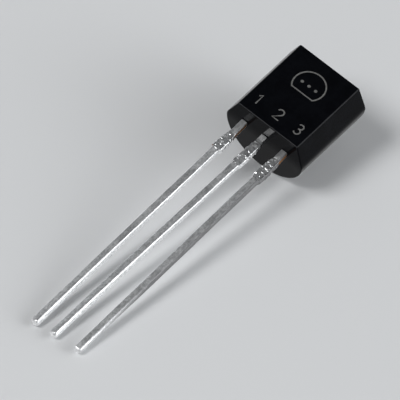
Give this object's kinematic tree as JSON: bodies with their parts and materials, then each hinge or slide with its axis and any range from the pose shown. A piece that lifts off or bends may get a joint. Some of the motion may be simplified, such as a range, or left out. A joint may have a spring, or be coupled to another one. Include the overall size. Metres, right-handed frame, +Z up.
{
  "type": "triac",
  "caption": "Triac in a D-shaped black moulded package with a flat front, a round back and a row of long straight tinned leads.",
  "frame": {"origin": "on the ground under the middle of the bounding box, with the package lying on its round back and its lead tips", "axes": "+X across the leads from main terminal 1 to main terminal 2, +Y along the leads towards the body, +Z up, out of the flat front"},
  "size_m": [0.0048, 0.0208, 0.0044],
  "materials": {
    "epoxy": "satin",
    "tinned_lead": "satin",
    "silicon": "gloss",
    "solder": "satin",
    "bond_wire": "satin"
  },
  "bodies": {
    "root": {"package_body": "epoxy", "lead_mt1": "tinned_lead", "lead_gate": "tinned_lead", "lead_mt2": "tinned_lead", "silicon_die": "silicon", "die_attach": "solder", "bond_wire_mt1": "bond_wire", "bond_wire_gate": "bond_wire"}
  },
  "joints": []
}
